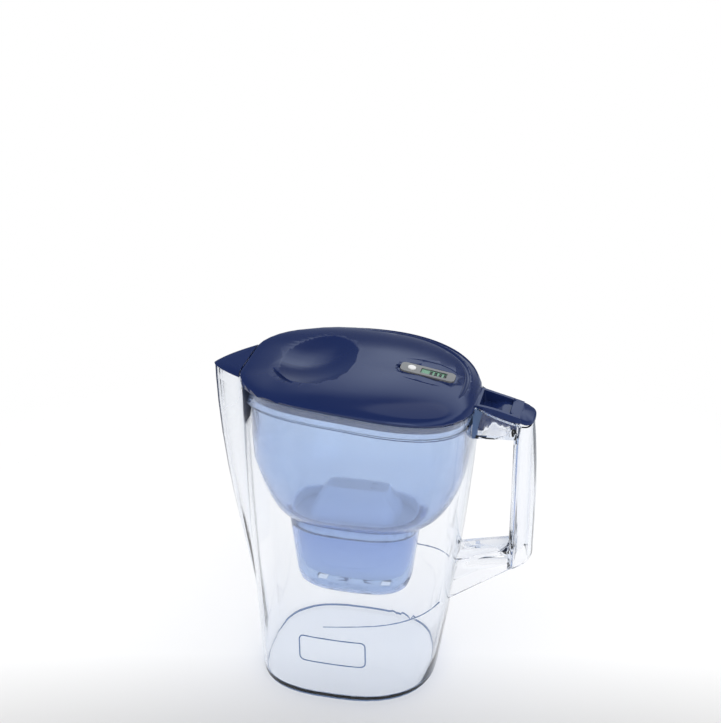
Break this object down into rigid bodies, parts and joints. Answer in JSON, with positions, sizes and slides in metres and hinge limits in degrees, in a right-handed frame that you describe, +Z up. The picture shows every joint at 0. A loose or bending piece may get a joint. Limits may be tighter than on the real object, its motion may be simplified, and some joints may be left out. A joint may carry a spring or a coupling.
{
  "type": "water filter pitcher",
  "caption": "Clear water filter pitcher with side handle, drop-in funnel, filter cartridge and navy lid with hinged spout flap.",
  "frame": {"origin": "centre of the foot, on the surface that the jug stands on", "axes": "+Z up, -X towards the pouring spout, +X towards the handle, +Y to the pitcher's left side seen from the spout"},
  "size_m": [0.2541, 0.1478, 0.271],
  "materials": {
    "clear_plastic": "clear, glossy",
    "tinted_plastic": "pale blue, translucent, glossy",
    "white_plastic": "white, slightly translucent satin",
    "screen_plastic": "white, fine mesh",
    "granules": "grainy",
    "navy_plastic": "navy, satin gloss",
    "silver_plastic": "silver-grey, satin",
    "clear_window": "clear",
    "display_glass": "grey-green",
    "conductive_rubber": "matt",
    "button_plastic": "white, satin",
    "spring_steel": "bright",
    "circuit_board": "green lacquer",
    "cell_steel": "bright",
    "contact_brass": "bright"
  },
  "bodies": {
    "jug": {"jug_body": "clear_plastic", "jug_handle": "clear_plastic"},
    "funnel": {"funnel": "tinted_plastic"},
    "lid": {"lid_shell": "navy_plastic", "indicator_case_top": "silver_plastic", "indicator_case_bottom": "silver_plastic", "indicator_window": "clear_window", "indicator_display": "display_glass", "display_connector_strip": "conductive_rubber", "button_switch_dome": "spring_steel", "indicator_board": "circuit_board", "indicator_cell": "cell_steel", "cell_contact_upper": "contact_brass", "cell_contact_lower": "contact_brass"},
    "cartridge": {"cartridge_cup": "white_plastic", "cartridge_cap": "white_plastic", "cartridge_inlet_screen": "screen_plastic", "filter_granules": "granules", "cartridge_outlet_screen": "screen_plastic"},
    "flap": {"spout_flap": "navy_plastic"},
    "button": {"indicator_button": "button_plastic"}
  },
  "joints": [
    {"name": "funnel_lift", "type": "slide", "parent": "jug", "child": "funnel", "axis": [0, 0, 1], "range_m": [0, 0.141]},
    {"name": "lid_lift", "type": "slide", "parent": "funnel", "child": "lid", "axis": [0, 0, 1], "range_m": [0, 0.105]},
    {"name": "cartridge_lift", "type": "slide", "parent": "lid", "child": "cartridge", "axis": [0, 0, 1], "range_m": [0, 0.061]},
    {"name": "flap_hinge", "type": "hinge", "parent": "lid", "child": "flap", "pos_m": [-0.0842, 0, 0.26225], "axis": [0, 1, 0], "range_deg": [0, 55]},
    {"name": "button_press", "type": "slide", "parent": "lid", "child": "button", "axis": [-0.1599, 0, -0.9871], "range_m": [0, 0.0004], "stiffness_N_per_m": 1500}
  ]
}
